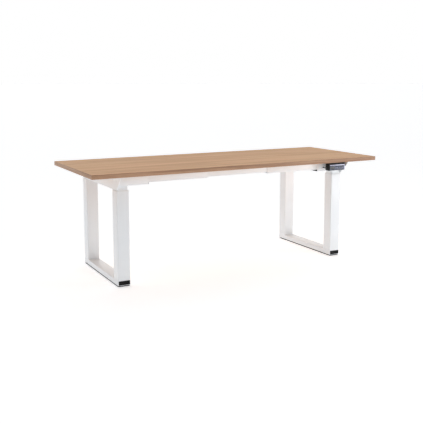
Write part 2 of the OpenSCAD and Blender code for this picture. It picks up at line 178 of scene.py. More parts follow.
class Shader(Nodes):
    """A material's node tree with one Principled shader."""

    def __init__(self, name: str) -> None:
        """Starts an empty material of this name."""
        self.material = bpy.data.materials.new(name)
        super().__init__(self.material)
        self.principled = self.node("ShaderNodeBsdfPrincipled")
        self.node("ShaderNodeOutputMaterial", values={"Surface": self.principled.outputs[0]})

    def set(self, **values: Any) -> None:
        """Sets the shader's own sockets; a name's underscores stand for its spaces."""
        for key, value in values.items():
            self.feed(self.principled.inputs[key.replace("_", " ")], value)

    def place(self, scale: Sequence[float] = (1, 1, 1), offset: Any = None) -> bpy.types.NodeSocket:
        """The object's own coordinates, stretched.

        Args:
            scale: The factor on each axis.
            offset: A vector to add first, if any.

        Returns:
            The vector output.
        """
        here = self.node("ShaderNodeTexCoord").outputs["Object"]
        if offset is not None:
            added = self.node("ShaderNodeVectorMath", {"operation": "ADD"}, {0: here, 1: offset})
            here = added.outputs[0]
        return self.node("ShaderNodeMapping", {}, {"Vector": here, "Scale": scale}).outputs[0]

    def noise(self, where: Any, scale: float = 1.0, detail: float = 2.0, rough: float = 0.5) -> Value:
        """A noise value from 0 to 1 at a place."""
        values = {"Vector": where, "Scale": scale, "Detail": detail, "Roughness": rough}
        return Value(self, self.node("ShaderNodeTexNoise", {}, values).outputs[0])

    def cells(self, where: Any, scale: float) -> Value:
        """The distance to the nearest point of a random lattice."""
        values = {"Vector": where, "Scale": scale}
        return Value(self, self.node("ShaderNodeTexVoronoi", {}, values).outputs["Distance"])

    def mix(self, factor: Number, low: Any, high: Any, blend: str = "MIX") -> bpy.types.NodeSocket:
        """Mixes two colours."""
        settings = {"data_type": "RGBA", "blend_type": blend}
        return self.node("ShaderNodeMix", settings, {0: factor, 6: low, 7: high}).outputs[2]

    def ramp(self, factor: Number, *stops: tuple[float, Colour]) -> bpy.types.NodeSocket:
        """A colour ramp over a value."""
        return self.node("ShaderNodeValToRGB", {"stops": stops}, {0: factor}).outputs[0]

    def bump(self, height: Number, depth: float, strength: float = 1.0) -> None:
        """Gives the surface a relief of this depth in metres."""
        values = {"Height": height, "Distance": depth, "Strength": strength}
        self.set(Normal=self.node("ShaderNodeBump", {}, values).outputs[0])


# ---- Finishes ----


@dataclass(frozen=True)
class Finish:
    """A surface finish of one colour, with a slight mottle and a fine relief."""

    name: str
    colour: Colour
    roughness: float = 0.5
    metallic: float = 0.0
    specular: float = 0.5
    mottle: float = 0.04
    relief: float = 0.00004
    relief_scale: float = 1500.0

    def make(self) -> bpy.types.Material:
        """Builds the material."""
        shader = Shader(self.name)
        shader.set(Specular_IOR_Level=self.specular)
        self.dress(shader)
        return shader.material

    def mottled(self, shader: Shader, scale: float = 9.0) -> bpy.types.NodeSocket:
        """The colour with its slow variation."""
        drift = shader.noise(shader.place(), scale, 4.0, 0.6).between(0.3, 0.7)
        low = linear(tuple(c * (1.0 - self.mottle) for c in self.colour))
        high = linear(tuple(min(255.0, c * (1.0 + self.mottle)) for c in self.colour))
        return shader.mix(drift, low, high)

    def dress(self, shader: Shader) -> None:
        """Sets up the shader."""
        fine = shader.noise(shader.place(), self.relief_scale, 2.0)
        shader.set(Base_Color=self.mottled(shader), Metallic=self.metallic)
        shader.set(Roughness=shader.noise(shader.place(), 60.0, 3.0) * 0.12 + (self.roughness - 0.06))
        shader.bump(fine, self.relief, 0.6)


@dataclass(frozen=True)
class PowderCoat(Finish):
    """Baked powder coat: orange peel, tiny pits and a soft gloss."""

    def dress(self, shader: Shader) -> None:
        """Sets up the shader."""
        peel = shader.noise(shader.place(), 420.0, 2.0, 0.45)
        pits = shader.cells(shader.place(), 900.0).between(0.0, 0.25)
        rubbed = shader.noise(shader.place((1, 1, 0.35)), 14.0, 5.0, 0.65)
        tone = self.mottled(shader, 3.0)
        dust = (1 - pits) * shader.noise(shader.place(), 35.0, 2.0).between(0.55, 0.75) * 0.12
        shader.set(Base_Color=shader.mix(dust, tone, linear((196, 198, 202))))
        shader.set(Roughness=rubbed * 0.14 + (self.roughness - 0.07))
        shader.set(Coat_Weight=0.12, Coat_Roughness=0.18)
        shader.bump(peel * 0.8 + pits * 0.2, self.relief, 0.5)


class Cut(Enum):
    """How a wood decor is laid."""

    FACE = "face"
    EDGE = "edge"


@dataclass(frozen=True)
class WoodDecor(Finish):
    """Fine straight-grained wood decor with pores, bands and a little figure."""

    dark: Colour = (150, 112, 80)
    light: Colour = (214, 184, 154)
    cut: Cut = Cut.FACE

    def dress(self, shader: Shader) -> None:
        """Sets up the shader."""
        along = self.cut is Cut.FACE
        sway = shader.noise(shader.place((0.7, 2.4, 2.4)), 1.0, 2.0)
        bend = (sway - 0.5) * (0.09 if along else 0.0)
        drift = shader.node("ShaderNodeCombineXYZ", {}, {1: bend}).outputs[0]

        def streaks(length: float, width: float, detail: float) -> Value:
            """Streaks with this many to a metre along and across the grain."""
            stretch = (length, width if along else length, width)
            return shader.noise(shader.place(stretch, drift), 1.0, detail, 0.6)

        bands = streaks(0.9, 15.0, 5.0)
        lines = streaks(2.2, 95.0, 5.0)
        fibres = streaks(9.0, 620.0, 3.0)
        pores = streaks(26.0, 1500.0, 1.0).between(0.60, 0.74)
        wave = bands * 9.0 + sway * 4.0
        rings = wave.math("SINE", wave).between(-1.0, 1.0)
        grain = bands * 0.42 + lines * 0.34 + fibres * 0.16 + rings * 0.08
        tone = shader.ramp(grain, (0.30, self.dark), (0.50, self.colour), (0.70, self.light))
        blush = shader.noise(shader.place((1.2, 2.6, 2.6)), 2.0, 2.0).between(0.42, 0.66) * 0.35
        rosy = shader.mix(1.0, tone, (1.04, 0.965, 0.955, 1.0), "MULTIPLY")
        warm = shader.mix(blush, tone, rosy)
        shader.set(Base_Color=shader.mix(pores * 0.42, warm, linear(self.dark)))
        shader.set(Roughness=fibres * 0.16 + pores * 0.12 + (self.roughness - 0.08))
        shader.bump(fibres * 0.6 - pores * 0.8, self.relief, 0.5)


@dataclass(frozen=True)
class MouldedPlastic(Finish):
    """Moulded plastic with a fine spark-eroded texture."""

    def dress(self, shader: Shader) -> None:
        """Sets up the shader."""
        sparks = shader.cells(shader.place(), self.relief_scale)
        grain = shader.noise(shader.place(), self.relief_scale * 0.6, 3.0, 0.7)
        worn = shader.noise(shader.place(), 45.0, 4.0, 0.6)
        shader.set(Base_Color=self.mottled(shader, 22.0), Roughness=worn * 0.2 + (self.roughness - 0.1))
        shader.bump(sparks * 0.5 + grain * 0.5, self.relief, 0.7)


@dataclass(frozen=True)
class BareMetal(Finish):
    """Plated or machined metal with tool marks round or along it."""

    marks: tuple[float, float, float] = (40.0, 40.0, 2600.0)

    def dress(self, shader: Shader) -> None:
        """Sets up the shader."""
        cuts = shader.noise(shader.place(self.marks), 1.0, 3.0, 0.6)
        stain = shader.noise(shader.place(), 70.0, 5.0, 0.7).between(0.35, 0.75)
        tone = shader.mix(stain * 0.3, self.mottled(shader, 60.0), linear((120, 112, 96)))
        shader.set(Base_Color=tone)
        shader.set(Metallic=1.0, Roughness=cuts * 0.18 + stain * 0.08 + (self.roughness - 0.1))
        shader.bump(cuts, self.relief, 0.6)


@dataclass(frozen=True)
class GlossFace(Finish):
    """Glossy clear-coated plastic or glass with faint finger marks."""

    coat: float = 0.2

    def dress(self, shader: Shader) -> None:
        """Sets up the shader."""
        smudge = shader.noise(shader.place((1, 1, 2.4)), 130.0, 4.0, 0.6).between(0.45, 0.75)
        shader.set(Base_Color=self.mottled(shader, 40.0), Metallic=self.metallic)
        shader.set(Coat_Weight=self.coat, Coat_Roughness=0.06)
        shader.set(Roughness=smudge * 0.14 + self.roughness)
        shader.bump(shader.noise(shader.place(), 300.0, 2.0), self.relief, 0.3)


@dataclass(frozen=True)
class LitMark(Finish):
    """Printed mark that is slightly lighter than its face."""

    def dress(self, shader: Shader) -> None:
        """Sets up the shader."""
        ink = shader.noise(shader.place(), 2500.0, 2.0).between(0.2, 0.5)
        thin = linear(tuple(c * 0.85 for c in self.colour))
        shader.set(Base_Color=shader.mix(ink, thin, linear(self.colour)))
        shader.set(Roughness=ink * 0.1 + self.roughness)


FINISH_LIST: tuple[Finish, ...] = (
    WoodDecor(
        "oak_laminate",
        (225, 177, 130),
        0.58,
        specular=0.2,
        relief=0.00005,
        dark=(197, 145, 101),
        light=(236, 191, 147),
    ),
    WoodDecor(
        "oak_edge",
        (168, 129, 99),
        0.5,
        relief=0.00005,
        dark=(112, 76, 50),
        light=(204, 166, 134),
        cut=Cut.EDGE,
    ),
    PowderCoat("white_powder_coat", (236, 239, 242), 0.34, mottle=0.008, relief=0.00005),
    MouldedPlastic("white_plastic", (232, 232, 232), 0.5, mottle=0.01),
    MouldedPlastic("black_plastic", (11, 11, 13), 0.56, specular=0.22, mottle=0.12, relief=0.00006),
    BareMetal("zinc_steel", (196, 198, 202), 0.3, relief=0.00002),
    MouldedPlastic("motor_metal", (72, 74, 80), 0.42, 0.6, mottle=0.08),
    BareMetal("bronze", (196, 158, 98), 0.34, relief=0.00002),
    MouldedPlastic("cable_rubber", (38, 38, 39), 0.6, mottle=0.1),
    GlossFace("handset_face", (44, 50, 74), 0.24, mottle=0.1, relief=0.00001, coat=0.25),
    # The pale satin colour of the handset trim is a painted highlight: it stands in for light caught on
    # the panel's top bevel.
    GlossFace("satin_trim", (192, 194, 216), 0.34, 0.3, mottle=0.02, relief=0.00001, coat=0.1),
    GlossFace("display_glass", (12, 13, 19), 0.1, mottle=0.1, relief=0.00001, coat=0.3),
    GlossFace("button_plastic", (74, 80, 108), 0.3, mottle=0.06, relief=0.00001, coat=0.2),
)
FINISHES = {finish.name: finish for finish in FINISH_LIST}
MARK = LitMark("button_mark", (186, 190, 208), 0.4)
UNLIT = LitMark("unlit_segment", (58, 60, 70), 0.3)


class PaintShop:
    """Keeps one material for each finish."""

    def __init__(self) -> None:
        """Builds every finish once."""
        self.made = {key: finish.make() for key, finish in FINISHES.items()}
        self.made.update({mark.name: mark.make() for mark in (MARK, UNLIT)})

    def coat_frame(self) -> None:
        """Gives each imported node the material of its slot."""
        slots = {part["node"]: part["material_slot"] for part in frame["record"]["subparts"]}
        for name, node in frame["nodes"].items():
            node.data.materials.clear()
            node.data.materials.append(self.made[slots[name]])
            LOG.info("coated %s with %s", name, slots[name])


# ---- Mesh work ----


def low_high(node: str) -> tuple[Vector, Vector]:
    """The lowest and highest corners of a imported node."""
    low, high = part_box(node)
    return Vector(low), Vector(high)


def node_mesh(node: str) -> BMesh:
    """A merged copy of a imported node's mesh with its flat faces joined up."""
    bm = bmesh.new()
    bm.from_mesh(frame["nodes"][node].data)
    bmesh.ops.remove_doubles(bm, verts=bm.verts, dist=1e-6)
    bmesh.ops.dissolve_limit(bm, angle_limit=math.radians(0.4), verts=bm.verts, edges=bm.edges)
    return bm


def sharp_edges(bm: BMesh, angle: float = 40.0) -> list[BMEdge]:
    """The outward edges that turn by more than an angle in degrees."""
    limit = math.radians(angle)
    return [e for e in bm.edges if e.is_manifold and e.is_convex and e.calc_face_angle() > limit]


def sharp_edges_of(verts: Sequence[BMVert]) -> list[BMEdge]:
    """The sharp edges among some new vertices."""
    edges = {edge for vert in verts for edge in vert.link_edges}
    return [edge for edge in edges if edge.is_manifold and edge.calc_face_angle() > 1.0]


def ease(bm: BMesh, edges: Iterable[BMEdge], radius: float, segments: int = 2) -> None:
    """Rounds edges off."""
    bmesh.ops.bevel(
        bm,
        geom=list(edges),
        offset=radius,
        offset_type="OFFSET",
        segments=segments,
        profile=0.5,
        affect="EDGES",
        clamp_overlap=True,
        material=-1,
        loop_slide=True,
    )


def block(
    bm: BMesh, low: Sequence[float], high: Sequence[float], radius: float = 0.0, segments: int = 2
) -> None:
    """Adds a block with rounded edges.

    Args:
        bm: The mesh to add to.
        low: Its lowest corner.
        high: Its highest corner.
        radius: The radius of its edges.
        segments: The steps of that radius.
    """
    size = Vector(high) - Vector(low)
    middle = (Vector(high) + Vector(low)) / 2
    shape = Matrix.Translation(middle) @ Matrix.Diagonal((*size, 1.0))
    verts = bmesh.ops.create_cube(bm, size=1.0, matrix=shape)["verts"]
    if radius:
        ease(bm, {e for v in verts for e in v.link_edges}, radius, segments)


def drum(
    bm: BMesh,
    place: Matrix,
    radius: float,
    depth: float,
    segments: int = 24,
    far: Optional[float] = None,
) -> list[BMVert]:
    """Adds a closed cylinder or cone about the middle of a place.

    Args:
        bm: The mesh to add to.
        place: Where its middle goes; its axis is the local Z.
        radius: The radius at the low end.
        depth: The length.
        segments: The number of sides.
        far: The radius at the high end, if it differs.

    Returns:
        The new vertices.
    """
    top = radius if far is None else far
    made = bmesh.ops.create_cone(
        bm, cap_ends=True, segments=segments, radius1=radius, radius2=top, depth=depth, matrix=place
    )
    return made["verts"]


def lathe(bm: BMesh, profile: Sequence[tuple[float, float]], centre: Vector, steps: int = 48) -> None:
    """Spins a profile of radius and height round a vertical line.

    Args:
        bm: The mesh to add to.
        profile: Points of radius and height, from the bottom to the top.
        centre: The foot of the line.
        steps: The steps of a full turn.
    """
    verts = [bm.verts.new(centre + Vector((r, 0.0, z))) for r, z in profile]
    edges = [bm.edges.new(pair) for pair in zip(verts, verts[1:])]
    bmesh.ops.spin(
        bm, geom=verts + edges, cent=centre, axis=(0, 0, 1), angle=math.tau, steps=steps, use_merge=True
    )


def tidy(bm: BMesh) -> None:
    """Merges doubles and turns every face outwards."""
    bmesh.ops.remove_doubles(bm, verts=bm.verts, dist=1e-7)
    bmesh.ops.recalc_face_normals(bm, faces=bm.faces)


def islands(node: str) -> list[tuple[Vector, Vector]]:
    """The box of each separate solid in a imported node."""
    bm = node_mesh(node)
    left = set(bm.verts)
    boxes = []
    while left:
        todo = [left.pop()]
        seen = list(todo)
        while todo:
            for edge in todo.pop().link_edges:
                for vert in edge.verts:
                    if vert in left:
                        left.remove(vert)
                        todo.append(vert)
                        seen.append(vert)
        axes = list(zip(*(v.co for v in seen)))
        boxes.append((Vector([min(a) for a in axes]), Vector([max(a) for a in axes])))
    bm.free()
    return sorted(boxes, key=lambda box: tuple(round(c, 4) for c in box[0]))


class Bench:
    """Turns finished meshes into pieces of the desk."""

    def __init__(self, paint: PaintShop) -> None:
        """Takes the paint shop that finishes the pieces."""
        self.paint = paint
        bodies = frame["record"]["behaviour"]["bodies"]
        self.bodies = {node: body for body, nodes in bodies.items() for node in nodes}

    def piece(
        self,
        name: str,
        bm: BMesh,
        finish: str,
        body: str,
        stands_for: Sequence[str] = (),
        smooth_angle: float = 32.0,
    ) -> bpy.types.Object:
        """Makes one piece.

        Args:
            name: The piece's name.
            bm: Its mesh, which is used up.
            finish: The name of its material.
            body: The body it rides on.
            stands_for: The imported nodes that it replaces.
            smooth_angle: Edges that turn by less, in degrees, are shaded smooth.

        Returns:
            The new object.
        """
        mesh = bpy.data.meshes.new(name)
        bm.to_mesh(mesh)
        bm.free()
        mesh.polygons.foreach_set("use_smooth", [True] * len(mesh.polygons))
        mesh.set_sharp_from_angle(angle=math.radians(smooth_angle))
        mesh.materials.append(self.paint.made[finish])
        thing = bpy.data.objects.new(name, mesh)
        bpy.context.scene.collection.objects.link(thing)
        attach(thing, body)
        if stands_for:
            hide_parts(*stands_for)
        LOG.info("made %s on %s, %d faces", name, body, len(mesh.polygons))
        return thing

    def eased(self, node: str, make: str, finish: str, radius: float, segments: int = 2) -> None:
        """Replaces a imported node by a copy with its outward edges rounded.

        Args:
            node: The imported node.
            make: How it is made, which ends the new piece's name.
            finish: The name of its material.
            radius: The radius of its edges.
            segments: The steps of that radius.
        """
        bm = node_mesh(node)
        ease(bm, sharp_edges(bm), radius, segments)
        self.piece(f"{node}_{make}", bm, finish, self.bodies[node], [node])


# ---- The sub-assemblies ----


@dataclass
class TableTop:
    """The board with its edge band."""

    band_radius: float = 0.001
    seam: float = 0.0002

    def build(self, bench: Bench) -> None:
        """Makes the board and the band."""
        bench.eased("edge_band", "rounded", "oak_edge", self.band_radius, 3)
        bench.eased("top_board", "trimmed", "oak_laminate", self.seam, 1)


@dataclass
class CrossFrame:
    """Folded arms and housings, drawn rails and the plastic closures between them."""

    fold: float = 0.0012
    tube: float = 0.002
    cap: float = 0.0006

    def build(self, bench: Bench) -> None:
        """Makes every part of the frame under the top."""
        coat = "white_powder_coat"
        for side in SIDES:
            bench.eased(f"side_arm_{side}", "folded", coat, self.fold)
        for corner in CORNERS:
            bench.eased(f"motor_housing_{corner}", "folded", coat, self.fold)
            bench.eased(f"outer_rail_{corner}", "drawn", coat, self.tube, 3)
            bench.eased(f"inner_column_{corner}", "drawn", coat, self.cap)
        for end in ("front", "rear"):
            bench.eased(f"inner_rail_{end}", "drawn", coat, self.tube, 3)
        bench.eased("housing_caps", "moulded", "black_plastic", self.cap)


@dataclass
class Leg:
    """One loop leg: foot bar, outer columns, plugs, collars, weld beads and glides."""

    side: str
    bar_radius: float = 0.0022
    column_rim: float = 0.0006
    plug_radius: float = 0.0015
    collar_radius: float = 0.0008
    bead_radius: float = 0.0022
    bead_ripple: float = 0.0004
    bead_step: float = 0.0016
    bead_end: float = 0.004
    panel_rim: float = 0.004
    panel_slope: float = 0.0006
    panel_depth: float = 0.0008

    def build(self, bench: Bench) -> None:
        """Makes the leg."""
        side = self.side
        coat = "white_powder_coat"
        bench.eased(f"foot_bar_{side}", "drawn", coat, self.bar_radius, 3)
        bench.eased(f"outer_columns_{side}", "drawn", coat, self.column_rim)
        bench.eased(f"column_collars_{side}", "moulded", "white_plastic", self.collar_radius)
        self.plugs(bench)
        self.weld_beads(bench)
        for corner in (f"front_{side}", f"rear_{side}"):
            self.glide(bench, corner)

    def plugs(self, bench: Bench) -> None:
        """Makes the two end plugs, each with a sunk panel in its face."""
        node = f"foot_caps_{self.side}"
        middle = sum((low + high for low, high in islands(node)), Vector()) / 4
        bm = node_mesh(node)
        outer = [f for f in bm.faces if f.normal.y * (f.calc_center_median().y - middle.y) > 0]
        faces = [f for f in outer if abs(f.normal.y) > 0.9]
        bmesh.ops.inset_region(bm, faces=faces, thickness=self.panel_rim, depth=0.0)
        bmesh.ops.inset_region(bm, faces=faces, thickness=self.panel_slope, depth=-self.panel_depth)
        ease(bm, sharp_edges(bm, 70.0), self.plug_radius * 0.5, 2)
        bench.piece(f"{node}_moulded", bm, "black_plastic", bench.bodies[node], [node])

    def weld_beads(self, bench: Bench) -> None:
        """Lays a rippled bead along the inner foot of each column."""
        node = f"outer_columns_{self.side}"
        bm = bmesh.new()
        boxes = islands(node)
        middle = sum((low.y + high.y for low, high in boxes)) / (2 * len(boxes))
        for low, high in boxes:
            y = high.y if high.y < middle else low.y
            start, stop = low.x + self.bead_end, high.x - self.bead_end
            steps = int((stop - start) / self.bead_step)
            turn = Matrix.Translation((start, y, low.z)) @ Matrix.Rotation(math.pi / 2, 4, "Y")
            ring = bmesh.ops.create_circle(
                bm, cap_ends=True, segments=10, radius=self.bead_radius, matrix=turn
            )
            face = next(f for f in ring["verts"][0].link_faces)
            for step in range(steps):
                grown = bmesh.ops.extrude_discrete_faces(bm, faces=[face])["faces"][0]
                swell = 1 + self.bead_ripple / self.bead_radius * (1 if step % 2 else -1)
                centre = grown.calc_center_median()
                for vert in grown.verts:
                    vert.co = centre + (vert.co - centre) * swell + Vector((self.bead_step, 0, 0))
                face = grown
        tidy(bm)
        name = f"weld_beads_{self.side}"
        bench.piece(name, bm, "white_powder_coat", bench.bodies[node], smooth_angle=60.0)

    def glide(self, bench: Bench, corner: str) -> None:
        """Makes one levelling glide: a domed pad and a threaded stem."""
        node = f"glide_{corner}"
        low, high = low_high(node)
        centre = Vector(((low.x + high.x) / 2, (low.y + high.y) / 2, low.z))
        pad = (high.x - low.x) / 2
        bm = bmesh.new()
        profile = [(0.0, 0.0), (pad - 0.001, 0.0), (pad, 0.001), (pad, 0.0028)]
        profile += [(pad - 0.003, 0.0042), (0.008, 0.005), (0.0, 0.005)]
        lathe(bm, profile, centre)
        stem = [(0.0, 0.0045)]
        pitch, root, crest = 0.00125, 0.0033, 0.004
        z = 0.0055
        while z + pitch < high.z - low.z:
            stem += [(root, z), (crest, z + pitch / 2)]
            z += pitch
        stem += [(root, z), (0.0, z + 0.0004)]
        lathe(bm, stem, centre, 24)
        tidy(bm)
        bench.piece(f"{node}_turned", bm, "black_plastic", bench.bodies[node], [node])


@dataclass
class LiftDrive:
    """The threaded lead screws and the gear motors."""

    lead: float = 0.008
    root: float = 0.0058
    plain_end: float = 0.012
    turn_steps: int = 24
    motor_axis: float = 0.027
    motor_rings: tuple[tuple[float, float, float], ...] = (
        (0.0035, 0.0188, 0.003),
        (0.022, 0.0203, 0.0012),
        (0.0745, 0.0203, 0.0012),
    )

    def build(self, bench: Bench) -> None:
        """Makes the drive of each corner."""
        for corner in CORNERS:
            self.lead_screw(bench, corner)
            self.motor(bench, corner)

    def lead_screw(self, bench: Bench, corner: str) -> None:
        """Spins a trapezoid thread up a lead screw."""
        node = f"lead_screw_{corner}"
        low, high = low_high(node)
        radius = (high.x - low.x) / 2
        centre = Vector(((low.x + high.x) / 2, (low.y + high.y) / 2, low.z))
        plain = self.plain_end
        turns = int((high.z - low.z - 2 * plain) / self.lead)
        bm = bmesh.new()
        half = self.lead / 2
        outline = [(self.root, 0.0), (self.root, half * 0.55), (radius, half)]
        outline += [(radius, half * 1.55), (self.root, self.lead)]
        verts = [bm.verts.new(centre + Vector((r, 0.0, plain + z))) for r, z in outline]
        edges = [bm.edges.new(pair) for pair in zip(verts, verts[1:])]
        rise = Vector((0, 0, self.lead))
        bmesh.ops.spin(
            bm,
            geom=verts + edges,
            cent=centre,
            axis=(0, 0, 1),
            dvec=rise / self.turn_steps,
            angle=math.tau,
            steps=self.turn_steps,
            use_merge=False,
        )
        turn = bpy.data.meshes.new("turn")
        bm.to_mesh(turn)
        for _ in range(turns - 2):
            turn.transform(Matrix.Translation(rise))
            bm.from_mesh(turn)
        bpy.data.meshes.remove(turn)
        tidy(bm)
        core = plain + self.lead * turns
        wide = self.root + 0.0002
        length = high.z - low.z
        profile = [(0.0, 0.0), (self.root - 0.0002, 0.0), (wide, 0.0006), (wide, core + plain / 2)]
        profile += [(self.root, length - 0.0006), (0.0, length)]
        lathe(bm, profile, centre, self.turn_steps)
        bench.piece(f"{node}_threaded", bm, "zinc_steel", bench.bodies[node], [node])

    def motor(self, bench: Bench, corner: str) -> None:
        """Adds an end bell and two rolled joints to an eased gear motor."""
        node = f"gear_motor_{corner}"
        low, high = low_high(node)
        bm = node_mesh(node)
        ease(bm, sharp_edges(bm, 60.0), 0.0012, 2)
        inward = 1 if corner.endswith("left") else -1
        end = high.x if inward > 0 else low.x
        y = (low.y + high.y) / 2
        z = low.z + self.motor_axis
        along = Matrix.Rotation(math.pi / 2, 4, "Y")
        for back, radius, depth in self.motor_rings:
            place = Matrix.Translation((end - inward * back, y, z)) @ along
            ease(bm, sharp_edges_of(drum(bm, place, radius, depth, 36)), 0.0004, 1)
        bench.piece(f"{node}_assembled", bm, "motor_metal", bench.bodies[node], [node])


@dataclass
class Screws:
    """Button-head screws with a hexagon socket, driven up from below."""

    node: str
    head: float
    crown: float = 0.72
    socket: float = 0.45
    socket_depth: float = 0.6
    shank: float = 0.55
    tip: float = 0.4
    sides: int = 24

    def build(self, bench: Bench) -> None:
        """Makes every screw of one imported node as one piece."""
        bm = bmesh.new()
        for low, high in islands(self.node):
            self.screw(bm, low, high)
        bench.piece(f"{self.node}_turned", bm, "zinc_steel", bench.bodies[self.node], [self.node])

    def screw(self, bm: BMesh, low: Vector, high: Vector) -> None:
        """Adds one screw inside a box."""
        x, y = (low.x + high.x) / 2, (low.y + high.y) / 2
        radius = (high.x - low.x) / 2
        middle = Matrix.Translation((x, y, low.z + self.head / 2))
        verts = drum(bm, middle, radius * self.crown, self.head, self.sides, radius)
        face = min({f for v in verts for f in v.link_faces}, key=lambda f: f.calc_center_median().z)
        bmesh.ops.inset_region(bm, faces=[face], thickness=radius * (self.crown - self.socket))
        centre = face.calc_center_median()
        flat = radius * self.socket * math.cos(math.pi / 6)
        for vert in face.verts:
            arm = vert.co - centre
            third = math.atan2(arm.y, arm.x) % (math.pi / 3) - math.pi / 6
            vert.co = centre + arm.normalized() * flat / math.cos(third)
        deep = bmesh.ops.extrude_discrete_faces(bm, faces=[face])["faces"][0]
        bmesh.ops.translate(bm, verts=deep.verts, vec=(0, 0, self.head * self.socket_depth))
        length = high.z - low.z - self.head
        middle = Matrix.Translation((x, y, high.z - length / 2))
        drum(bm, middle, radius * self.shank, length, self.sides // 2, radius * self.tip)


@dataclass
class Electronics:
    """The control box under the top, its plugs, vents and wiring saddles."""

    rib_count: int = 14
    rib_pitch: float = 0.007
    rib: tuple[float, float, float] = (0.0014, 0.016, 0.0012)
    rib_row: float = 0.026
    stud: tuple[float, float] = (0.112, 0.046)
    plug: tuple[float, float, float] = (0.007, 0.012, 0.0045)
    motor_plug: tuple[float, float] = (0.070, 0.618)
    handset_plug: tuple[float, float] = (0.030, 0.612)

    def build(self, bench: Bench) -> None:
        """Makes the control box and what is on it."""
        bench.eased("control_box", "moulded", "black_plastic", 0.0012)
        bench.eased("mains_inlet", "moulded", "black_plastic", 0.0005, 1)
        bench.eased("cable_clips", "moulded", "black_plastic", 0.0008, 1)
        self.vents(bench)
        self.plugs(bench)

    def vents(self, bench: Bench) -> None:
        """Moulds two rows of cooling ribs and four cover studs on the underside."""
        low, high = low_high("control_box")
        x0 = (low.x + high.x) / 2
        y0 = (low.y + high.y) / 2
        bm = bmesh.new()
        wide, long, tall = self.rib
        for row in (-1, 1):
            y = y0 + row * self.rib_row
            for i in range(self.rib_count):
                x = x0 + (i - (self.rib_count - 1) / 2) * self.rib_pitch
                foot = (x - wide, y - long, low.z - tall)
                block(bm, foot, (x + wide, y + long, low.z + 0.0005), 0.0005, 1)
        for sx in (-1, 1):
            for sy in (-1, 1):
                spot = Matrix.Translation((x0 + sx * self.stud[0], y0 + sy * self.stud[1], low.z))
                drum(bm, spot, 0.0045, 0.0012, 20, 0.005)
        bench.piece("control_box_vents", bm, "black_plastic", bench.bodies["control_box"])

    def plugs(self, bench: Bench) -> None:
        """Puts a ribbed plug where each cable enters the control box."""
        low, high = low_high("control_box")
        x0 = (low.x + high.x) / 2
        y0 = (low.y + high.y) / 2
        bm = bmesh.new()
        wide, long, tall = self.plug
        across, level = self.motor_plug
        spots = [(sx * across, sy, level) for sx in (-1, 1) for sy in (-1, 1)]
        spots.append((self.handset_plug[0], -1, self.handset_plug[1]))
        for dx, sy, z in spots:
            wall = y0 + sy * (high.y - low.y) / 2
            near, far = sorted((wall, wall + sy * long))
            x = x0 + dx
            block(bm, (x - wide, near, z - tall), (x + wide, far, z + tall), 0.001)
            for step in range(4):
                at = Matrix.Translation((x, wall + sy * (0.0145 + step * 0.004), z))
                drum(bm, at @ Matrix.Rotation(math.pi / 2, 4, "X"), 0.0044 - step * 0.0003, 0.0022, 20)
        bench.piece("cable_plugs", bm, "black_plastic", bench.bodies["control_box"])


class Mark(Enum):
    """What is printed on a button."""

    DOWN = "down"
    UP = "up"
    ONE = "memory_1"
    TWO = "memory_2"
    THREE = "memory_3"


SEGMENT_BARS = {
    "a": (0.0, 1.0, True),
    "b": (0.5, 0.5, False),
    "c": (0.5, -0.5, False),
    "d": (0.0, -1.0, True),
    "e": (-0.5, -0.5, False),
    "f": (-0.5, 0.5, False),
    "g": (0.0, 0.0, True),
}
DIGIT_BARS = {1: "bc", 2: "abged", 3: "abgcd", 8: "abcdefg"}


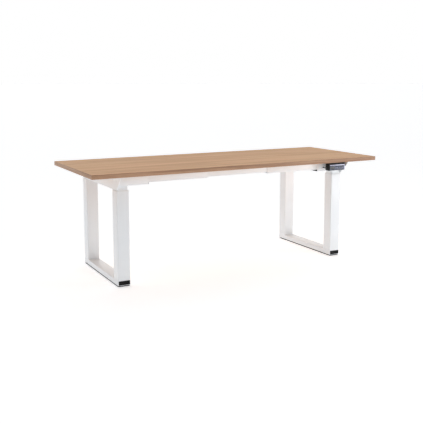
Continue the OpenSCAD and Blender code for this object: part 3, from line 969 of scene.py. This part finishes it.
@dataclass
class Handset:
    """The control panel under the front edge, with its buttons and display."""

    mark_height: float = 0.0048
    mark_stroke: float = 0.0007
    mark_depth: float = 0.00012
    digit_height: float = 0.0105

    def build(self, bench: Bench) -> None:
        """Makes the handset."""
        bench.eased("handset_body", "moulded", "black_plastic", 0.0012)
        bench.eased("handset_panel", "moulded", "handset_face", 0.0004, 2)
        # The pale trim along the panel's top bevel is a painted highlight.
        bench.eased("handset_trim", "moulded", "satin_trim", 0.0006, 2)
        for mark in Mark:
            self.button(bench, mark)
        self.digits(bench)

    def button(self, bench: Bench, mark: Mark) -> None:
        """Makes one button with a soft edge and its printed mark."""
        node = f"button_{mark.value}"
        low, high = low_high(node)
        bm = node_mesh(node)
        front = [e for e in sharp_edges(bm) if max(v.co.y for v in e.verts) < low.y + 0.0001]
        ease(bm, front, 0.0007, 3)
        bench.piece(f"{node}_moulded", bm, "button_plastic", bench.bodies[node], [node])
        centre = Vector(((low.x + high.x) / 2, low.y, (low.z + high.z) / 2))
        bm = bmesh.new()
        if mark in (Mark.UP, Mark.DOWN):
            self.arrow(bm, centre, mark)
        else:
            self.digit(bm, centre, int(mark.value[-1]), self.mark_height, self.mark_stroke)
        bench.piece(f"{node}_mark", bm, MARK.name, bench.bodies[node])

    def plate(self, bm: BMesh, low: tuple[float, float], high: tuple[float, float], y: float) -> None:
        """Adds a thin raised bar on a face that looks to -Y."""
        block(bm, (low[0], y - self.mark_depth, low[1]), (high[0], y + self.mark_depth, high[1]))

    def arrow(self, bm: BMesh, centre: Vector, mark: Mark) -> None:
        """Adds a solid triangle that points up or down."""
        half_turn = math.pi if mark is Mark.DOWN else 0.0
        turn = Matrix.Rotation(math.pi / 2, 4, "X") @ Matrix.Rotation(half_turn, 4, "Z")
        place = Matrix.Translation(centre) @ turn
        drum(bm, place, self.mark_height * 0.55, 2 * self.mark_depth, 3)

    def digit(self, bm: BMesh, centre: Vector, number: int, height: float, stroke: float) -> None:
        """Adds a digit made of straight bars.

        Args:
            bm: The mesh to add to.
            centre: Its middle, on the face.
            number: Which digit.
            height: Its height.
            stroke: The width of a bar.
        """
        half, wide = height / 2 - stroke / 2, height * 0.48
        for bar in DIGIT_BARS[number]:
            across, up, flat = SEGMENT_BARS[bar]
            x = centre.x + across * wide
            z = centre.z + up * half
            long = (wide if flat else half) / 2 - stroke * 0.15
            dx, dz = (long, stroke / 2) if flat else (stroke / 2, long)
            self.plate(bm, (x - dx, z - dz), (x + dx, z + dz), centre.y)

    def digits(self, bench: Bench) -> None:
        """Puts three unlit digits and a point behind the display's glass."""
        low, high = low_high("handset_display")
        bm = bmesh.new()
        z = (low.z + high.z) / 2
        for i in range(3):
            x = low.x + (high.x - low.x) * (0.24 + 0.26 * i)
            self.digit(bm, Vector((x, low.y, z)), 8, self.digit_height, 0.0011)
        point = low.x + (high.x - low.x) * 0.635
        foot = z - self.digit_height / 2
        self.plate(bm, (point, foot), (point + 0.0011, foot + 0.0011), low.y)
        bench.piece("display_digits", bm, UNLIT.name, bench.bodies["handset_display"])


# ---- Studio ----


@dataclass(frozen=True)
class Softbox:
    """A rectangular lamp that faces a point."""

    name: str
    place: tuple[float, float, float]
    aim: tuple[float, float, float]
    size: float
    watts: float

    def build(self) -> None:
        """Hangs the lamp."""
        lamp = bpy.data.lights.new(self.name, "AREA")
        lamp.shape = "SQUARE"
        lamp.size = self.size
        lamp.energy = self.watts
        thing = bpy.data.objects.new(self.name, lamp)
        thing.location = self.place
        facing = Vector(self.aim) - Vector(self.place)
        thing.rotation_euler = facing.to_track_quat("-Z", "Y").to_euler()
        bpy.context.scene.collection.objects.link(thing)


@dataclass
class Studio:
    """White floor, white surroundings, soft lamps and the camera."""

    camera_place: tuple[float, float, float] = (-2.1838, -3.9606, 1.1937)
    yaw: float = 28.18
    pitch: float = 7.60
    lens: float = 58.86
    shift_up: float = -0.0948
    floor_size: float = 400.0
    floor_glow: float = 0.4
    # width of the soft rim of the painted shadow under the foot bars
    foot_shade: float = 0.004
    surround: float = 0.15
    sky: tuple[tuple[int, float, float], ...] = (
        (0, -1.0, 0.22),
        (0, 1.0, 0.38),
        (1, -1.0, 0.03),
        (1, 1.0, 1.1),
        (2, 1.0, 0.1),
    )
    lamps: tuple[Softbox, ...] = (
        Softbox("lamp_right", (2.2, -2.0, 0.9), (0.75, -0.1, 0.35), 1.2, 19.5),
        Softbox("lamp_front", (-0.4, -3.2, 2.6), (0.0, -0.3, 0.3), 1.0, 12.0),
    )

    def build(self) -> None:
        """Sets the studio up."""
        scene = bpy.context.scene
        scene.view_settings.view_transform = "Standard"
        self.surroundings(scene)
        self.floor()
        for lamp in self.lamps:
            lamp.build()
        self.camera(scene)

    def surroundings(self, scene: bpy.types.Scene) -> None:
        """Gives the scene a surround that is white to see and lights each side by its own amount."""
        world = bpy.data.worlds.new("surround")
        nodes = Nodes(world)
        ray = nodes.node("ShaderNodeTexCoord").outputs["Generated"]
        parts = nodes.node("ShaderNodeSeparateXYZ", {}, {0: ray}).outputs
        seen = Value(nodes, nodes.node("ShaderNodeLightPath").outputs["Is Camera Ray"])
        sky: Number = self.surround
        for axis, way, strength in self.sky:
            toward = Value(nodes, parts[axis]) * way
            sky = toward.math("MAXIMUM", toward, 0.0) * strength + sky
        values = {"Color": (1, 1, 1, 1), "Strength": seen + (1 - seen) * sky}
        glow = nodes.node("ShaderNodeBackground", {}, values)
        nodes.node("ShaderNodeOutputWorld", {}, {"Surface": glow.outputs[0]})
        scene.world = world

    def floor(self) -> None:
        """Lays the pale floor, with a painted shadow under each foot bar."""
        bm = bmesh.new()
        bmesh.ops.create_grid(bm, x_segments=1, y_segments=1, size=self.floor_size / 2)
        mesh = bpy.data.meshes.new("floor")
        bm.to_mesh(mesh)
        bm.free()
        shader = Shader("floor_paint")
        mottle = shader.noise(shader.place(), 3.0, 3.0)
        # Painted shadow: under the foot bars the floor is painted dark grey and its glow is turned off.
        foot_shadow_mask = self.painted_foot_shadow(shader)
        shader.set(Base_Color=shader.mix(foot_shadow_mask, linear((250, 251, 253)), linear((70, 70, 72))))
        shader.set(Emission_Color=shader.mix(foot_shadow_mask, (1.0, 1.0, 1.0, 1.0), (0.0, 0.0, 0.0, 1.0)))
        shader.set(Emission_Strength=self.floor_glow, Roughness=mottle * 0.1 + 0.75)
        mesh.materials.append(shader.material)
        thing = bpy.data.objects.new("floor", mesh)
        bpy.context.scene.collection.objects.link(thing)

    def painted_foot_shadow(self, shader: Shader) -> Number:
        """A painted contact shadow: 1 on the floor straight under a foot bar, where its glow would
        show, and 0 elsewhere.
        """
        parts = shader.node("ShaderNodeSeparateXYZ", {}, {0: shader.place()}).outputs
        foot_shadow_mask: Number = 0.0
        for side in SIDES:
            low, high = low_high(f"foot_bar_{side}")
            inside: Number = 1.0
            for axis in (0, 1):
                offset = Value(shader, parts[axis]) - (low[axis] + high[axis]) / 2
                half = (high[axis] - low[axis]) / 2
                reach = offset.math("ABSOLUTE", offset)
                inside = (1 - reach.between(half - self.foot_shade, half + self.foot_shade)) * inside
            foot_shadow_mask = inside + foot_shadow_mask
        return foot_shadow_mask

    def camera(self, scene: bpy.types.Scene) -> None:
        """Places the camera."""
        eye = bpy.data.cameras.new("camera")
        eye.lens = self.lens
        eye.sensor_width = 36.0
        eye.shift_y = self.shift_up
        eye.clip_end = 200.0
        thing = bpy.data.objects.new("camera", eye)
        thing.location = self.camera_place
        thing.rotation_euler = (math.radians(90.0 - self.pitch), 0.0, -math.radians(self.yaw))
        scene.collection.objects.link(thing)
        scene.camera = thing


def main() -> None:
    """Builds the desk and its studio."""
    logging.basicConfig(level=logging.INFO, format="%(name)s: %(message)s")
    Studio().build()
    paint = PaintShop()
    paint.coat_frame()
    bench = Bench(paint)
    TableTop().build(bench)
    CrossFrame().build(bench)
    for side in SIDES:
        Leg(side).build(bench)
    LiftDrive().build(bench)
    Screws("rail_clamp_screws", 0.003).build(bench)
    Screws("top_screws", 0.0025).build(bench)
    Electronics().build(bench)
    Handset().build(bench)


if __name__ == "__main__":
    main()
